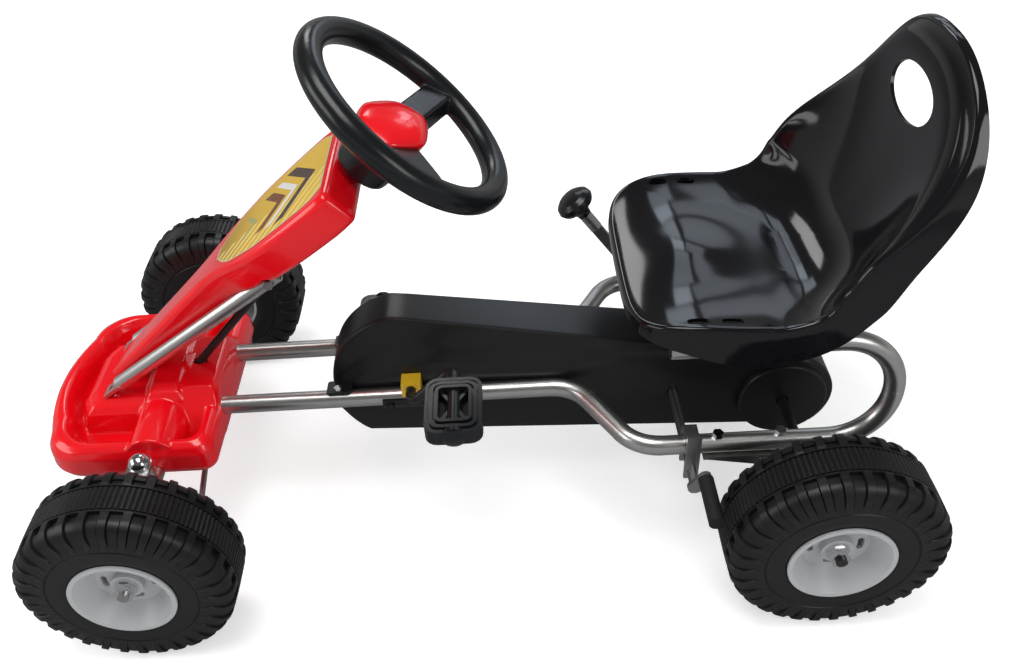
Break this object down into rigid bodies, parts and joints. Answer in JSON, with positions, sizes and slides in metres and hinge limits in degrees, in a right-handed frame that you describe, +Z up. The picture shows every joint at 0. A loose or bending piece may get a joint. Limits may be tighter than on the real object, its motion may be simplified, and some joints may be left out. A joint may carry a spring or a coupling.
{
  "type": "pedal go kart",
  "caption": "Child's pedal go kart with a bent-tube frame, moulded nose, column cover and bucket seat, chain drive in a case, steered front wheels and a hand brake.",
  "frame": {"origin": "on the ground, half way between the axles and between the wheels, within 6 mm of the middle of the overall box", "axes": "+X forward, +Y to the driver's left, +Z up"},
  "size_m": [1.0301, 0.579, 0.5971],
  "materials": {
    "zinc_tube": "bright zinc plate",
    "zinc_plate": "zinc plate",
    "red_plastic": "glossy moulded plastic",
    "decal": "printed film",
    "gloss_black": "high gloss",
    "satin_black": "satin moulded plastic",
    "black_steel": "black oxide",
    "chrome_hardware": "bright",
    "yellow_bush": "moulded nylon",
    "chain_steel": "oiled steel",
    "tyre": "matt moulded tread",
    "rim_grey": "satin grey",
    "brake_rubber": "matt rubber"
  },
  "bodies": {
    "chassis": {"frame_tube_left": "zinc_tube", "frame_tube_right": "zinc_tube", "front_axle_beam": "zinc_tube", "steering_foot": "zinc_plate", "column_bracket": "zinc_plate", "brace_tube_left": "zinc_tube", "brace_tube_right": "zinc_tube", "nose_shell": "red_plastic", "column_cover": "red_plastic", "cover_decal": "decal", "seat": "gloss_black", "seat_crossbar_front": "zinc_plate", "seat_crossbar_rear": "zinc_plate", "seat_bolts": "black_steel", "chain_case_left": "satin_black", "chain_case_right": "satin_black", "case_screws": "chrome_hardware", "crank_bush_left": "yellow_bush", "crank_bush_right": "yellow_bush", "bush_clamp_left": "satin_black", "bush_clamp_right": "satin_black", "axle_bracket_left": "zinc_plate", "axle_bracket_right": "zinc_plate", "axle_bush_left": "satin_black", "axle_bush_right": "satin_black", "bracket_bolts": "chrome_hardware", "brake_hanger_left": "zinc_plate", "brake_hanger_right": "zinc_plate", "drive_chain": "chain_steel"},
    "steering": {"steering_shaft": "black_steel", "steering_wheel": "satin_black", "hub_cap": "red_plastic"},
    "knuckle_left": {"knuckle_left": "zinc_plate", "kingpin_left": "chrome_hardware", "stub_nut_left": "chrome_hardware"},
    "knuckle_right": {"knuckle_right": "zinc_plate", "kingpin_right": "chrome_hardware", "stub_nut_right": "chrome_hardware"},
    "tie_rod_left": {"tie_rod_left": "zinc_plate"},
    "tie_rod_right": {"tie_rod_right": "zinc_plate"},
    "wheel_front_left": {"tyre_front_left": "tyre", "rim_front_left": "rim_grey"},
    "wheel_front_right": {"tyre_front_right": "tyre", "rim_front_right": "rim_grey"},
    "crank": {"crank_rod": "black_steel", "chainring": "zinc_plate"},
    "pedal_left": {"pedal_left": "satin_black"},
    "pedal_right": {"pedal_right": "satin_black"},
    "rear_axle": {"rear_axle": "black_steel", "rear_sprocket": "zinc_plate", "rear_axle_nuts": "chrome_hardware", "tyre_rear_left": "tyre", "rim_rear_left": "rim_grey"},
    "wheel_rear_right": {"tyre_rear_right": "tyre", "rim_rear_right": "rim_grey"},
    "brake": {"brake_shaft": "zinc_plate", "brake_lever": "zinc_plate", "brake_knob": "satin_black", "brake_sleeve_left": "brake_rubber", "brake_sleeve_right": "brake_rubber"}
  },
  "joints": [
    {"name": "steering_turn", "type": "hinge", "parent": "chassis", "child": "steering", "pos_m": [0.046, 0, 0.504], "axis": [-0.682, 0, 0.7314], "range_deg": [-40, 40]},
    {"name": "knuckle_left_turn", "type": "hinge", "parent": "chassis", "child": "knuckle_left", "pos_m": [0.375, 0.154, 0.137], "axis": [0, 0, 1], "range_deg": [-30, 30]},
    {"name": "knuckle_right_turn", "type": "hinge", "parent": "chassis", "child": "knuckle_right", "pos_m": [0.375, -0.154, 0.137], "axis": [0, 0, 1], "range_deg": [-30, 30]},
    {"name": "tie_rod_left_turn", "type": "hinge", "parent": "knuckle_left", "child": "tie_rod_left", "pos_m": [0.33, 0.148, 0.0934], "axis": [0, 0, 1], "range_deg": [-30, 30]},
    {"name": "tie_rod_right_turn", "type": "hinge", "parent": "knuckle_right", "child": "tie_rod_right", "pos_m": [0.33, -0.148, 0.0934], "axis": [0, 0, 1], "range_deg": [-30, 30]},
    {"name": "front_left_spin", "type": "hinge", "parent": "knuckle_left", "child": "wheel_front_left", "pos_m": [0.375, 0.246, 0.115], "axis": [0, 1, 0], "continuous": true},
    {"name": "front_right_spin", "type": "hinge", "parent": "knuckle_right", "child": "wheel_front_right", "pos_m": [0.375, -0.246, 0.115], "axis": [0, 1, 0], "continuous": true},
    {"name": "rear_axle_spin", "type": "hinge", "parent": "chassis", "child": "rear_axle", "pos_m": [-0.375, 0, 0.115], "axis": [0, 1, 0], "continuous": true},
    {"name": "rear_right_spin", "type": "hinge", "parent": "rear_axle", "child": "wheel_rear_right", "pos_m": [-0.375, -0.246, 0.115], "axis": [0, 1, 0], "continuous": true},
    {"name": "crank_spin", "type": "hinge", "parent": "chassis", "child": "crank", "pos_m": [0.076, 0, 0.1773], "axis": [0, 1, 0], "continuous": true},
    {"name": "pedal_left_spin", "type": "hinge", "parent": "crank", "child": "pedal_left", "pos_m": [0.01895, 0.151, 0.2305], "axis": [0, 1, 0], "continuous": true},
    {"name": "pedal_right_spin", "type": "hinge", "parent": "crank", "child": "pedal_right", "pos_m": [0.13305, -0.151, 0.1241], "axis": [0, 1, 0], "continuous": true},
    {"name": "brake_pull", "type": "hinge", "parent": "chassis", "child": "brake", "pos_m": [-0.24, 0, 0.132], "axis": [0, -1, 0], "range_deg": [0, 15]}
  ],
  "couplings": [
    {"joint": "knuckle_left_turn", "follows": "steering_turn", "ratio": 0.75},
    {"joint": "knuckle_right_turn", "follows": "steering_turn", "ratio": 0.75},
    {"joint": "tie_rod_left_turn", "follows": "steering_turn", "ratio": -0.75},
    {"joint": "tie_rod_right_turn", "follows": "steering_turn", "ratio": -0.75},
    {"joint": "crank_spin", "follows": "rear_axle_spin", "ratio": 0.5}
  ]
}
